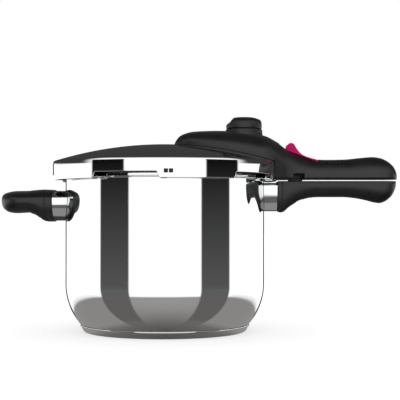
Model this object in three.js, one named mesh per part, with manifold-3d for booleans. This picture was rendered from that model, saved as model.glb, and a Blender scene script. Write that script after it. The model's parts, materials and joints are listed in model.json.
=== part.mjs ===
// A stovetop pressure cooker: a deep pan, a bayonet lid with a rotary valve and a
// sliding lock in its long handle, and a helper handle on the far side.
// Millimetres, +Z up. The origin is on the pan's axis, on the face it stands on.
// The long handles run along +X.
import * as THREE from 'three';
import { mergeVertices } from 'three/addons/utils/BufferGeometryUtils.js';
import { ParametricGeometry } from 'three/addons/geometries/ParametricGeometry.js';
import Module from 'manifold-3d';

const wasm = await Module();
wasm.setup();

// Driving dimensions
const gap = 0.3; // left between pieces that touch
const wall = 1.0; // pressed steel

const potR = 110.8;
const potFloor = 8.6;
const potCorner = 67.5; // radius of the curve from wall to floor
const potCornerZ = 53;
const rimZ = 175;
const tabR = 121;
const tabZ = 168.6;
const tabThick = 1.6;

const lugs = 5;
const lugStep = (2 * Math.PI) / lugs;
const lugMiddle = 18; // degrees from -Y towards +X

const lidR = 124.8;
const lidLow = 167; // bottom of the skirt where it carries a lug
const lidHigh = 173.6; // bottom of the skirt between lugs
const domeR = 405;
const domeTop = 208;
const domeEdge = 122.3; // where the dome turns into the skirt
const lugInner = 114.4;
const lugThick = 1.2;

const baseR = 94;
const baseH = 8;

const upperBottom = 169;
const coverTop = 172.4;
const lowerTop = 167;
const gripHalf = 18; // half the width of the long grips
const handleWall = 3.5;
const rootX = 125.6; // where the upper handle turns down past the skirt
const endX = 259.8;

const knobX = 88.6;
const knobR = 20.1;
const knobBottom = 225.9;
const knobTop = 238.8;
const collarR = 20.7;
const collarTop = 225.3;

const safetyX = 58;
const indicatorX = 36;
const frontScrewX = 21.5;
const rearScrewX = 106;

const slope = Math.atan2(13, 34.9); // fall of the slider's track towards the grip
const slideTravel = 7;
const slideFront = 135.5;
const slideTrackZ = 201.5; // height of the track at the slider's front
const slideHalf = 10;

const smooth = 60; // sides of a large round piece
const round = 16; // sides of a small one

const degree = Math.PI / 180;

// Materials
const steel = { color: 0xd9dbdd, metalness: 1, roughness: 0.08 };
const satinSteel = { color: 0xb9bcc0, metalness: 1, roughness: 0.35 };
const aluminium = { color: 0xc9cbcc, metalness: 1, roughness: 0.4 };
const brass = { color: 0xc9a24b, metalness: 1, roughness: 0.3 };
const phenolic = { color: 0x1b1b1c, metalness: 0, roughness: 0.35 };
const blackSteel = { color: 0x17171a, metalness: 0.8, roughness: 0.5 };
const silicone = { color: 0x1a1a1b, metalness: 0, roughness: 0.6 };
const magenta = { color: 0xc4005f, metalness: 0, roughness: 0.35 };

const cooker = new THREE.Group();

function sealed(geometry) {
  // merges shared vertices, drops flat triangles and turns the faces outwards
  const bare = geometry.clone();
  for (const name of Object.keys(bare.attributes)) {
    if (name !== 'position') bare.deleteAttribute(name);
  }
  const merged = mergeVertices(bare, 1e-4);
  const place = merged.attributes.position.array;
  const all = merged.index.array;
  const kept = [];
  let volume = 0;
  for (let i = 0; i < all.length; i += 3) {
    const [a, b, c] = [all[i], all[i + 1], all[i + 2]];
    if (a === b || b === c || c === a) continue;
    kept.push(a, b, c);
    const corner = [a, b, c].map((n) => new THREE.Vector3().fromArray(place, 3 * n));
    volume += corner[0].dot(corner[1].cross(corner[2]));
  }
  if (volume < 0) kept.reverse();
  merged.setIndex(kept);
  return merged;
}

function solid(geometry) {
  const closed = sealed(geometry);
  return new wasm.Manifold(new wasm.Mesh({
    numProp: 3,
    vertProperties: new Float32Array(closed.attributes.position.array),
    triVerts: new Uint32Array(closed.index.array),
  }));
}

function add(name, shape, finish) {
  const mesh = shape.getMesh();
  const geometry = new THREE.BufferGeometry();
  geometry.setAttribute('position', new THREE.BufferAttribute(mesh.vertProperties, 3));
  geometry.setIndex(new THREE.BufferAttribute(mesh.triVerts, 1));
  geometry.computeVertexNormals();
  const piece = new THREE.Mesh(geometry, new THREE.MeshStandardMaterial(finish));
  piece.name = name;
  cooker.add(piece);
  return piece;
}

// Plain shapes

function block(x, y, z) {
  // a box between pairs of limits
  const box = new THREE.BoxGeometry(x[1] - x[0], y[1] - y[0], z[1] - z[0]);
  box.translate((x[0] + x[1]) / 2, (y[0] + y[1]) / 2, (z[0] + z[1]) / 2);
  return solid(box);
}

function rod(x, y, radius, low, high, sides = round) {
  // an upright cylinder
  const body = new THREE.CylinderGeometry(radius, radius, high - low, sides);
  body.rotateX(Math.PI / 2);
  body.translate(x, y, (low + high) / 2);
  return solid(body);
}

function turned(profile, x = 0, sides = round) {
  // a profile of [radius, height] pairs turned about an upright axis at x
  const points = profile.map(([r, z]) => new THREE.Vector2(r, z));
  if (profile[0][0] > 0) points.push(points[0].clone());
  const body = new THREE.LatheGeometry(points, sides);
  body.rotateX(Math.PI / 2);
  body.translate(x, 0, 0);
  return solid(body);
}

function shapeOf(points) {
  return new THREE.Shape(points.map((p) => (p.isVector2 ? p : new THREE.Vector2(...p))));
}

function curved(points, count) {
  // a smooth line through a few points
  return new THREE.SplineCurve(points.map((p) => new THREE.Vector2(...p))).getPoints(count);
}

function acrossY(points, low, high) {
  // an outline in X and Z, carried along Y
  const body = new THREE.ExtrudeGeometry(shapeOf(points), { depth: high - low, bevelEnabled: false });
  body.rotateX(Math.PI / 2);
  body.translate(0, high, 0);
  return solid(body);
}

function upZ(points, low, high) {
  // an outline in X and Y, carried up Z
  const body = new THREE.ExtrudeGeometry(shapeOf(points), { depth: high - low, bevelEnabled: false });
  body.translate(0, 0, low);
  return solid(body);
}

function alongX(points, low, high) {
  // an outline in Y and Z, carried along X
  const body = new THREE.ExtrudeGeometry(shapeOf(points), { depth: high - low, bevelEnabled: false });
  body.applyMatrix4(new THREE.Matrix4().set(0, 0, 1, 0, 1, 0, 0, 0, 0, 1, 0, 0, 0, 0, 0, 1));
  body.translate(low, 0, 0);
  return solid(body);
}

function roundedBox(halfY, low, high, radius) {
  // an outline in Y and Z with round corners
  const shape = new THREE.Shape();
  shape.moveTo(halfY, low + radius);
  shape.absarc(halfY - radius, high - radius, radius, 0, Math.PI / 2, false);
  shape.absarc(radius - halfY, high - radius, radius, Math.PI / 2, Math.PI, false);
  shape.absarc(radius - halfY, low + radius, radius, Math.PI, 1.5 * Math.PI, false);
  shape.absarc(halfY - radius, low + radius, radius, 1.5 * Math.PI, 2 * Math.PI, false);
  return shape.getPoints(5).slice(0, -1);
}

function sweptRing(angles, profileAt) {
  // a wall whose [radius, height] profile changes with the angle round the pan's axis
  const count = profileAt(0).length;
  const around = angles.length;
  const closesOnAxis = profileAt(0)[0][0] === 0;
  const steps = closesOnAxis ? count - 1 : count;
  const surface = new ParametricGeometry((u, v, target) => {
    const angle = angles[Math.round(u * around) % around];
    const [r, z] = profileAt(angle)[Math.round(v * steps) % count];
    target.set(r * Math.sin(angle * degree), -r * Math.cos(angle * degree), z);
  }, around, steps);
  return solid(surface);
}

function everyLug(offsets) {
  // the same list of angles, in degrees, about the middle of each lug
  const all = [];
  for (let lug = 0; lug < lugs; lug++) {
    for (const offset of offsets) all.push(lugMiddle + (lug * lugStep) / degree + offset);
  }
  return all;
}

function fromLug(angle) {
  // how far an angle is from the nearest lug's middle, from -36 to 36 degrees
  const turn = lugStep / degree;
  return ((((angle - lugMiddle + turn / 2) % turn) + turn) % turn) - turn / 2;
}

function domeHeight(r, radius = domeR, top = domeTop) {
  return top - radius + Math.sqrt(radius * radius - r * r);
}

// The pan

function makePotBody() {
  const corner = (radius) => {
    const centre = potR - potCorner;
    const first = -Math.asin((potCornerZ - potFloor - (potCorner - radius)) / radius);
    return [0, 1, 2, 3, 4].map((n) => {
      const angle = first * (1 - n / 4);
      return [centre + radius * Math.cos(angle), potCornerZ + radius * Math.sin(angle)];
    });
  };
  const outer = corner(potCorner);
  const inner = corner(potCorner - wall).reverse();
  const profileAt = (angle) => {
    const off = fromLug(angle) < -14.5 ? fromLug(angle) + 72 : fromLug(angle);
    const reach = off <= 26.1 ? tabR : potR + 2.6;
    return [
      [0, potFloor],
      ...outer,
      [potR, tabZ],
      [reach, tabZ],
      [reach, tabZ + tabThick],
      [potR + 1.8, tabZ + tabThick + 0.6],
      [potR + 1.8, rimZ - 0.6],
      [potR + 1, rimZ],
      [potR - wall, rimZ],
      ...inner,
      [0, potFloor + wall],
    ];
  };
  const angles = everyLug([-15.5, -14, -8, -2, 4, 10, 16, 21, 26, 27.5, 33, 39, 45, 51]);
  add('pot_body', sweptRing(angles, profileAt), steel);
}

function makeBase() {
  const rim = baseR - 1;
  add('base_cap', turned([
    [0, 0], [baseR - 4.6, 0], [baseR - 3.4, 0.6], [baseR, baseH], [rim, baseH],
    [baseR - 4.2, wall], [0, wall],
  ], 0, smooth), steel);
  add('diffuser_core', turned([
    [0, wall + gap], [baseR - 4.7, wall + gap], [rim - 1, baseH - 0.2], [rim - 1, potFloor - gap],
    [0, potFloor - gap],
  ], 0, smooth), aluminium);
}

function panSide(extra) {
  // everything inside the pan's outer wall, for trimming what is fixed to it
  return rod(0, 0, potR + extra, 60, 200, smooth);
}

function makeBracket(name, side, halfWidth, plate, tongueX, tongueHalf, tongue, screwX) {
  // a plate welded on the pan's wall with a tongue that runs into the handle
  const back = 1.6;
  const shell = rod(0, 0, potR + gap + 0.25 + back, plate[0], plate[1], smooth);
  const reach = side > 0 ? [60, 130] : [-130, -60];
  const sector = block(reach, [-halfWidth, halfWidth], plate);
  const plateSolid = shell.subtract(panSide(gap + 0.25)).intersect(sector);
  const near = potR + gap + 0.8;
  const span = side > 0 ? [near, tongueX] : [tongueX, -near];
  const arm = block(span, [-tongueHalf, tongueHalf], tongue);
  const hole = rod(screwX, 0, 2.6, tongue[0] - 1, tongue[1] + 1);
  add(name, plateSolid.add(arm).subtract(hole), satinSteel);
}

function makeSleeve(name, side, halfY, low, high, radius, end) {
  // a thin formed sleeve between the pan and a handle
  const span = side > 0 ? [90, end] : [end, -90];
  const outside = alongX(roundedBox(halfY, low, high, radius), ...span);
  const inside = alongX(roundedBox(halfY - wall, low + wall, high - wall, radius - wall), ...span);
  const trim = panSide(gap + 0.25);
  add(name, outside.subtract(inside).subtract(trim), steel);
}

function gripPlan(start, rootHalf, half, end) {
  // a grip seen from above: parallel sides and a round end
  const shape = new THREE.Shape();
  shape.moveTo(start, -rootHalf);
  shape.lineTo(start + 14, -rootHalf);
  shape.quadraticCurveTo(start + 30, -rootHalf, start + 46, -half);
  shape.lineTo(end - half * 0.8, -half);
  shape.quadraticCurveTo(end, -half, end, 0);
  shape.quadraticCurveTo(end, half, end - half * 0.8, half);
  shape.lineTo(start + 46, half);
  shape.quadraticCurveTo(start + 30, rootHalf, start + 14, rootHalf);
  shape.lineTo(start, rootHalf);
  return shape.getPoints(6);
}

function makeScrew(name, x, y, headZ, tipZ, headR, shankR, finish = satinSteel) {
  // a pan-head screw with its head at headZ, a cross recess left to its finish
  const up = Math.sign(tipZ - headZ);
  const neck = headZ + up * 2.2;
  const head = rod(x, y, headR, Math.min(headZ, neck), Math.max(headZ, neck));
  const shank = rod(x, y, shankR, Math.min(neck - up, tipZ), Math.max(neck - up, tipZ), 12);
  const slotZ = [Math.min(headZ - up, headZ + up), Math.max(headZ - up, headZ + up)];
  const across = block([x - headR * 0.6, x + headR * 0.6], [y - 0.5, y + 0.5], slotZ);
  const along = block([x - 0.5, x + 0.5], [y - headR * 0.6, y + headR * 0.6], slotZ);
  add(name, head.add(shank).subtract(across.add(along)), finish);
}

function makeLowerHandle() {
  const start = 125.6;
  const under = curved([
    [start, 132.9], [130, 132.1], [133.4, 133.2], [138, 137.7], [147, 143.8], [158, 147.8], [172, 149.2],
    [199, 149.2], [219, 147.3], [239, 142.6], [248, 145.6], [255.5, 153.4], [258.6, 163],
  ], 30);
  const side = [...under, [257.8, lowerTop], [start, lowerTop]];
  const plan = gripPlan(start, 16, gripHalf, endX - 1);
  const body = acrossY(side, -40, 40).intersect(upZ(plan, 120, 180));
  const socket = block([start - 1, 161], [-7.4, 7.4], [150.6, 157.4]);
  const shank = rod(150, 0, 2.8, 140, 162);
  const counterbore = rod(150, 0, 5.2, 138, 149.4);
  const seat = block([142.6, 151.9], [-5, 5], [164.6, 168]);
  const cuts = socket.add(shank).add(counterbore).add(seat);
  add('lower_handle', body.subtract(cuts), phenolic);
  makeScrew('lower_handle_screw', 150, 0, 146.8, 160.5, 4.6, 2.3);
  const catchPlate = block([143, 151.5], [-4.6, 4.6], [164.9, lowerTop]);
  const post = block([143.5, 151], [-4, 4], [166, 173.6]);
  const flange = block([138.8, 153], [-12, 12], [lowerTop + gap, lowerTop + 1.6]);
  add('lock_catch', catchPlate.add(post).add(flange), blackSteel);
}

function helperPlan(start, half, end) {
  const shape = new THREE.Shape();
  shape.moveTo(start, -half + 4);
  shape.quadraticCurveTo(start - 12, -half, start - 24, -half);
  shape.quadraticCurveTo(end, -half, end, 0);
  shape.quadraticCurveTo(end, half, start - 24, half);
  shape.quadraticCurveTo(start - 12, half, start, half - 4);
  return shape.getPoints(9);
}

function makeHelperHandle() {
  const start = -122.9;
  const end = -182.4;
  const over = curved([
    [start, 157.6], [-138, 157.8], [-150, 156.4], [-165, 156.3], [-177, 153.8], [end, 146],
  ], 16);
  const under = curved([
    [end, 146], [-180, 137], [-172, 132.1], [-158, 131.6], [-145, 129.6], [-134, 122.8], [start, 121.9],
  ], 18);
  const side = [...over, ...under.slice(1)];
  const plan = helperPlan(start, 37.8, end);
  const body = acrossY(side, -45, 45).intersect(upZ(plan, 110, 170));
  const socket = block([-160.6, start + 1], [-10.4, 10.4], [136.6, 142.4]);
  const shank = rod(-145, 0, 2.8, 120, 148);
  const counterbore = rod(-145, 0, 5.2, 118, 133.2);
  add('helper_handle', body.subtract(socket).subtract(shank).subtract(counterbore), phenolic);
  makeScrew('helper_screw', -145, 0, 130.6, 146.4, 4.6, 2.3);
}

// The lid

function lidOutline(grow, below) {
  // the outside of the lid, grown a little and filled below
  const edge = [0, 15, 30, 45, 60, 75, 90, 102, 112, domeEdge].map((r) => [r, domeHeight(r) + grow]);
  return turned([
    ...edge,
    [domeEdge + 1.9 + grow * 0.7, domeHeight(domeEdge) - 0.7 + grow * 0.7],
    [lidR + grow, domeHeight(domeEdge) - 2.5],
    [lidR + grow, below],
    [0, below],
  ], 0, 96);
}

function valveSeat(shell, x, top, radius, hole) {
  // a small flat raised in the dome for a valve, with the valve's hole
  const cup = rod(x, 0, radius - wall, 185, top - wall);
  const boss = rod(x, 0, radius, domeHeight(x + radius) - 1.4, top);
  return shell.add(boss).subtract(cup).subtract(rod(x, 0, hole, 185, 215));
}

function makeLidShell() {
  const profileAt = (angle) => {
    const off = Math.abs(fromLug(angle));
    const t = THREE.MathUtils.smoothstep(off, 17.2, 22.6);
    const bottom = THREE.MathUtils.lerp(lidLow, lidHigh, t);
    const reach = off <= 14.1 ? lugInner : lidR - wall;
    const edgeZ = domeHeight(domeEdge);
    return [
      [0, domeTop],
      ...[40, 80, 108, domeEdge].map((r) => [r, domeHeight(r)]),
      [domeEdge + 1.9, edgeZ - 0.7],
      [lidR, edgeZ - 2.5],
      [lidR, bottom],
      [reach, bottom],
      [reach, bottom + lugThick],
      [lidR - wall, bottom + lugThick + 0.4],
      [lidR - wall, edgeZ - 3],
      [domeEdge - 0.6, edgeZ - 1.4],
      ...[108, 80, 40].map((r) => [r, domeHeight(r) - wall]),
      [0, domeTop - wall],
    ];
  };
  const half = [29, 22.6, 20.6, 19.2, 17.2, 15.4, 14, 7];
  const angles = everyLug([...half.map((a) => -a), 0, ...half.slice().reverse(), 36]);
  let shell = sweptRing(angles, profileAt);
  shell = valveSeat(shell, knobX, 201, 10.5, 5.3);
  shell = valveSeat(shell, safetyX, 206, 9.5, 5.3);
  shell = shell.subtract(rod(indicatorX, 0, 4, 195, 215));
  shell = shell.subtract(rod(frontScrewX, 0, 2.4, 195, 215, 12));
  shell = shell.subtract(rod(rearScrewX, 0, 2.4, 185, 205, 12));
  for (const x of [4.8, 9.95]) {
    shell = shell.subtract(block([x - 2.15, x + 2.15], [-130, -115], [172.1, 176.3]));
  }
  add('lid_shell', shell, steel);
}

function makeGasket() {
  // a lip seal, open towards the axis, with a tab that stands behind the windows in the skirt
  const seal = turned([
    [106, rimZ + gap], [122.3, rimZ + gap], [122.6, 184], [120.6, 186.2], [109, 187.4],
    [107.6, 186.6], [118, 183.4], [118, 179.2], [106, 178.4],
  ], 0, smooth);
  const tab = block([1.6, 13.2], [-122.3, -119.4], [171.3, rimZ + gap + 2]);
  add('lid_gasket', seal.add(tab), silicone);
}

function tonguePlan(inset) {
  // the tongue over the dome: a round tip that widens to the root
  const shape = new THREE.Shape();
  const tip = 10 + inset;
  shape.moveTo(tip, 0);
  shape.quadraticCurveTo(tip, inset - 17, 22, inset - 22);
  shape.quadraticCurveTo(36, inset - 28, 50, inset - 30.5);
  shape.quadraticCurveTo(76, inset - 35, 100, inset - 35);
  shape.quadraticCurveTo(122, inset - 34.5, 134, inset - 24);
  shape.quadraticCurveTo(144, inset - gripHalf, 168, inset - gripHalf);
  shape.lineTo(endX - 15, inset - gripHalf);
  shape.quadraticCurveTo(endX - inset, inset - gripHalf, endX - inset, 0);
  const half = shape.getPoints(6);
  const other = half.slice(1, -1).map((p) => new THREE.Vector2(p.x, -p.y)).reverse();
  return [...half, ...other];
}

function makeUpperHandle() {
  const crown = [
    [10, 207.9], [16.7, 218], [30.2, 222.5], [57, 223.6], [80, 222.6], [111, 218], [124.5, 212.4],
    [136, 204], [151.5, 195.6], [168, 191.6], [200, 191.5], [232, 194.2], [247, 190.6], [257.4, 181.6],
    [endX, 174],
  ];
  const over = curved(crown, 48);
  const inner = over.map((p) => new THREE.Vector2(p.x, p.y - handleWall));
  const side = [...over, [258.8, upperBottom], [rootX, upperBottom], [rootX, 180], [10, 180]];
  let body = acrossY(side, -45, 45).intersect(upZ(tonguePlan(0), 160, 240));
  body = body.add(rod(knobX, 0, collarR, 205, collarTop, 32));

  // the hollow over the dome, and the hollow of the grip below the slider's track
  const room = upZ(tonguePlan(handleWall), 160, 240);
  const belowCrown = acrossY([...inner, [endX, 160], [10, 160]], -45, 45).intersect(room);
  const overDome = belowCrown.intersect(block([13, 120], [-45, 45], [160, 240]));
  const inGrip = belowCrown.intersect(block([rootX + 2, 248], [-45, 45], [160, 186.5]));
  const posts = rod(frontScrewX, 0, 5, 190, 224).add(rod(rearScrewX, 0, 4.6, 190, 224));
  const coverPosts = rod(166, 10, 4, coverTop + gap, 190).add(rod(238, 0, 4, coverTop + gap, 192));
  body = body.subtract(overDome.subtract(posts)).subtract(inGrip.subtract(coverPosts));

  // holes for what passes through it
  body = body.subtract(rod(knobX, 0, 4.3, 210, 230));
  body = body.subtract(rod(indicatorX, 0, 2.3, 215, 230));
  body = body.subtract(rod(frontScrewX, 0, 2.3, 200, 216, 12));
  body = body.subtract(rod(rearScrewX, 0, 2.3, 190, 207, 12));
  body = body.subtract(rod(166, 10, 1.7, 168, 180, 12)).subtract(rod(238, 0, 1.7, 168, 180, 12));

  // the way for the lock's catch, out through the front wall
  body = body.subtract(block([140.8, 154.1], [-40, 6], [168, 175.6]));

  // the slider's track and the slot for its foot
  const fall = Math.tan(slope);
  const trackZ = (x) => slideTrackZ - gap - (x - slideFront) * fall;
  const track = [[127.6, trackZ(127.6)], [172, trackZ(172)], [172, 240], [127.6, 240]];
  body = body.subtract(acrossY(track, -slideHalf - 0.6, slideHalf + 0.6));
  body = body.subtract(block([136.6, 151], [-3.7, 3.7], [180, 210]));

  const coverSeat = coverTop + gap;
  const seatSpan = block([155.6, 250], [-45, 45], [160, coverSeat]);
  body = body.subtract(upZ(tonguePlan(1.6), 160, coverSeat).intersect(seatSpan));
  body = body.subtract(lidOutline(0.45, 150));
  add('upper_handle', body, phenolic);

  const plateSpan = block([156, 249.6], [-45, 45], [160, 190]);
  const plate = upZ(tonguePlan(2), upperBottom, coverTop).intersect(plateSpan);
  const holes = rod(166, 10, 1.9, 160, 180, 12).add(rod(238, 0, 1.9, 160, 180, 12));
  const springPost = rod(174, 0, 1.6, 170, 181.5, 12);
  const heads = rod(166, 10, 3.6, 160, 171.6).add(rod(238, 0, 3.6, 160, 171.6));
  add('handle_base_cover', plate.add(springPost).subtract(holes).subtract(heads), phenolic);
  makeScrew('cover_screw_front', 166, 10, upperBottom + 0.1, 178, 3, 1.4);
  makeScrew('cover_screw_rear', 238, 0, upperBottom + 0.1, 178, 3, 1.4);
  makeScrew('front_handle_screw', frontScrewX, 0, 203.4, 214.6, 4.4, 1.9);
  makeScrew('rear_handle_screw', rearScrewX, 0, 188.8, 205.6, 4.4, 1.9);
}

// The valves

function makeSpring(name, x, coilR, wireR, low, high, turns) {
  // an upright coil spring between two heights
  class Helix extends THREE.Curve {
    getPoint(t, target = new THREE.Vector3()) {
      const angle = 2 * Math.PI * turns * t;
      return target.set(x + coilR * Math.cos(angle), coilR * Math.sin(angle), low + (high - low) * t);
    }
  }
  const wire = new THREE.Shape();
  wire.absarc(0, 0, wireR, 0, 2 * Math.PI, false);
  const body = new THREE.ExtrudeGeometry(wire, {
    steps: turns * 10,
    curveSegments: 3,
    extrudePath: new Helix(),
    bevelEnabled: false,
  });
  add(name, solid(body), satinSteel);
}

function makeValve(name, x, seatTop, lift) {
  // a spring-loaded valve through the lid: body, washer, nut and plunger
  const under = seatTop - wall;
  const seat = seatTop + 5.4;
  add(`${name}_body`, turned([
    [1.6, under - 5], [8.2, under - 5], [8.2, under - 2.6], [5, under - 2.6], [5, seat - 1.4],
    [3, seat], [1.6, seat],
  ], x), brass);
  add(`${name}_washer`, turned([
    [5.3, under - 2.3], [8.2, under - 2.3], [8.2, under - gap], [5.3, under - gap],
  ], x), silicone);
  const hex = turned([[0, seatTop + gap], [8.4, seatTop + gap], [8.4, seatTop + 3], [0, seatTop + 3]], x, 6);
  add(`${name}_nut`, hex.subtract(rod(x, 0, 5.3, seatTop - 1, seatTop + 4)), brass);
  add(`${name}_plunger`, turned([
    [0, seat + gap], [4.4, seat + gap], [4.4, seat + 2], [1.7, seat + 2], [1.7, seat + 5.4 - lift],
    [0, seat + 5.4 - lift],
  ], x), satinSteel);
  makeSpring(`${name}_spring`, x, 3, 0.45, seat + 2.9, seat + 7.2, 4);
}

function makeRegulator() {
  makeValve('regulator', knobX, 201, 0.4);
  const cap = turned([
    [0, 188.4], [7, 188.4], [7.6, 189], [7.6, 194.7], [6.6, 194.7], [6.6, 189.4], [0, 189.4],
  ], knobX);
  const slots = block([knobX - 9, knobX + 9], [-1.2, 1.2], [190.4, 193]).add(
    block([knobX - 1.2, knobX + 1.2], [-9, 9], [190.4, 193]),
  );
  add('anti_clog_cap', cap.subtract(slots), satinSteel);
}

function makeSafety() {
  makeValve('safety_valve', safetyX, 206, 0.4);
  const cage = turned([
    [6.4, 209.4], [7.4, 209.4], [7.4, 219.9], [2.2, 219.9], [2.2, 219.2], [6.4, 219.2],
  ], safetyX);
  const ports = block([safetyX - 9, safetyX + 9], [-1.4, 1.4], [211, 215]);
  add('safety_valve_cage', cage.subtract(ports), brass);
}

function makeSelector() {
  const dish = 0.7;
  let knob = turned([
    [0, knobBottom], [knobR - 1.2, knobBottom], [knobR, knobBottom + 1], [knobR, 229.8],
    [knobR - 0.9, 230.9], [knobR - 1.5, 231.2], [knobR - 1.9, 236.2], [knobR - 2.8, knobTop - 0.6],
    [knobR - 4.2, knobTop], [knobR - 7, knobTop - 0.2], [knobR - 9.5, knobTop - dish],
    [0, knobTop - dish],
  ], knobX, 40);
  // the sloping face over the pointer
  const face = [[73.4, 230.9], [77.9, 237.4], [79, 242], [60, 242], [60, 230.9]];
  knob = knob.subtract(acrossY(face, -30, 30));
  knob = knob.subtract(rod(knobX, 0, 4.1, 220, 233.4));
  add('selector_knob', knob, phenolic);
  add('selector_stem', turned([
    [0, 214.9], [3.8, 214.9], [3.8, 216.2], [3.4, 216.2], [3.4, 217.4], [3.8, 217.4], [3.8, 233.1],
    [0, 233.1],
  ], knobX), satinSteel);
  add('selector_clip', turned([[3.7, 216.5], [6.6, 216.5], [6.6, 217.1], [3.7, 217.1]], knobX), satinSteel);
}

function makeIndicator() {
  const lidZ = domeHeight(indicatorX);
  add('indicator_bush', turned([
    [2, lidZ - 4], [5.6, lidZ - 4], [5.6, lidZ - 1.9], [3.6, lidZ - 1.9], [3.6, lidZ + 0.8],
    [5.2, lidZ + 0.8], [4.6, lidZ + 2.4], [2, lidZ + 2.4],
  ], indicatorX), silicone);
  add('indicator_pin', turned([
    [0, lidZ - 11], [3.6, lidZ - 11], [3.6, lidZ - 9], [1.6, lidZ - 9], [1.6, 221.6], [0, 221.8],
  ], indicatorX), magenta);
}

// The lock

function makeSlider() {
  const fall = Math.tan(slope);
  const track = (x) => slideTrackZ - (x - slideFront) * fall;
  const ramp = curved([[145, 208.3], [149, 203.2], [155, 198], [162, 194.4], [170.4, 191.6]], 9);
  const outline = [
    [slideFront, track(slideFront)], [slideFront, 203.4], [137, 207], [139.4, 209.2], [142.8, 209.6],
    ...ramp, [170.4, track(170.4)],
  ];
  const cap = acrossY(outline, -slideHalf, slideHalf);
  const foot = block([144, 150], [-3, 3], [178.6, 200]);
  add('unlock_slider', cap.add(foot), magenta);
}

function makeLatch() {
  const nose = block([134.6, 142.4], [-5, 5], [171, 174.6]);
  const arm = block([134.6, 138], [-5, 5], [171, 183.4]);
  const tail = block([134.6, 158], [-6.4, 6.4], [180, 183.4]);
  const lug = block([155.4, 158], [-4, 4], [177, 183.4]);
  const window = block([143.4, 150.6], [-3.6, 3.6], [170, 190]);
  add('latch_bolt', nose.add(arm).add(tail).add(lug).subtract(window.intersect(tail)), satinSteel);

  const wire = new THREE.Shape();
  wire.absarc(0, 0, 0.4, 0, 2 * Math.PI, false);
  const turns = 7;
  class Coil extends THREE.Curve {
    getPoint(t, target = new THREE.Vector3()) {
      const angle = 2 * Math.PI * turns * t;
      return target.set(159 + 12.6 * t, 2 * Math.cos(angle), 177.9 + 2 * Math.sin(angle));
    }
  }
  const body = new THREE.ExtrudeGeometry(wire, {
    steps: turns * 8,
    curveSegments: 3,
    extrudePath: new Coil(),
    bevelEnabled: false,
  });
  add('latch_spring', solid(body), satinSteel);
}

makePotBody();
makeBase();
makeBracket('long_handle_bracket', 1, 10, [146, 160], 160, 7, [151, 157], 150);
makeBracket('helper_bracket', -1, 19, [129.5, 148], -160, 10, [137, 142], -145);
makeSleeve('long_handle_sleeve', 1, 15.6, 133.4, 165.2, 9, 125.2);
makeSleeve('helper_sleeve', -1, 33, 122.9, 156.4, 13, -122.5);
makeLowerHandle();
makeHelperHandle();
makeLidShell();
makeGasket();
makeUpperHandle();
makeRegulator();
makeSafety();
makeSelector();
makeIndicator();
makeSlider();
makeLatch();

export default cooker;
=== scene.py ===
# Stovetop pressure cooker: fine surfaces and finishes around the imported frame.
# Lengths are in millimetres until a mesh is made, and +X runs along the long handles.
import json
import math

import bmesh
import bpy
import numpy as np
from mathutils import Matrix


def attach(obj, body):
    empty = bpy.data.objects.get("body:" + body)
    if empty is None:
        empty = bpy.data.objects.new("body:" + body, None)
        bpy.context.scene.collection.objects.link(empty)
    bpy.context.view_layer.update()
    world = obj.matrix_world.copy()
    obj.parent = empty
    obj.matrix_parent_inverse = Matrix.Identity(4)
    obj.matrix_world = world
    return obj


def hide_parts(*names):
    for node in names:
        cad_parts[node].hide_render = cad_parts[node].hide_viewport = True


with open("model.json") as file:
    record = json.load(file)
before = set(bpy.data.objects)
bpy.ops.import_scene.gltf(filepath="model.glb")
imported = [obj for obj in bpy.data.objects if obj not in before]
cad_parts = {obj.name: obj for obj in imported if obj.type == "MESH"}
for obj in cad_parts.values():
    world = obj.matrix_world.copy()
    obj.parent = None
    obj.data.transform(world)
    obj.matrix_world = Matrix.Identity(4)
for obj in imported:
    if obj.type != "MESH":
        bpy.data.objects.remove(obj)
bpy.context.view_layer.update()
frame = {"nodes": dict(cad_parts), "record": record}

mm = 0.001


# meshes

def gridFaces(rows, cols, wrapRows=False, wrapCols=False):
    # quads between neighbouring points of a grid, numbered row by row
    row = np.arange(rows if wrapRows else rows - 1)[:, None]
    col = np.arange(cols if wrapCols else cols - 1)[None, :]
    nextRow, nextCol = (row + 1) % rows, (col + 1) % cols
    corners = [row * cols + col, nextRow * cols + col, nextRow * cols + nextCol, row * cols + nextCol]
    return np.stack(corners, axis=-1).reshape(-1, 4)


def makeMesh(name, points, faces, sharp=32):
    # points in mm and quads become one closed mesh: doubles merged, faces outward, smooth but for the
    # edges sharper than an angle
    data = bpy.data.meshes.new(name)
    data.from_pydata((np.asarray(points).reshape(-1, 3) * mm).tolist(), [], faces.tolist())
    shell = bmesh.new()
    shell.from_mesh(data)
    bmesh.ops.remove_doubles(shell, verts=shell.verts, dist=2e-6)
    bmesh.ops.dissolve_degenerate(shell, edges=shell.edges, dist=1e-7)
    bmesh.ops.recalc_face_normals(shell, faces=shell.faces)
    shell.to_mesh(data)
    shell.free()
    piece = bpy.data.objects.new(name, data)
    bpy.context.scene.collection.objects.link(piece)
    smoothOver(piece, sharp)
    return piece


def smoothOver(piece, sharp=32):
    piece.data.polygons.foreach_set("use_smooth", np.ones(len(piece.data.polygons), dtype=bool))
    piece.data.set_sharp_from_angle(angle=math.radians(sharp))


def applyModifiers(piece):
    # the evaluated mesh takes the place of the mesh and its modifiers
    graph = bpy.context.evaluated_depsgraph_get()
    finished = bpy.data.meshes.new_from_object(piece.evaluated_get(graph))
    piece.modifiers.clear()
    piece.data = finished


def cutWith(piece, tools, sharp=32):
    # each tool is (object, "DIFFERENCE" or "UNION"); the tools are used up
    for tool, how in tools:
        cut = piece.modifiers.new("cut", "BOOLEAN")
        cut.object, cut.operation, cut.solver = tool, how, "MANIFOLD"
        applyModifiers(piece)
        bpy.data.objects.remove(tool)
    smoothOver(piece, sharp)
    return piece


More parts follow.
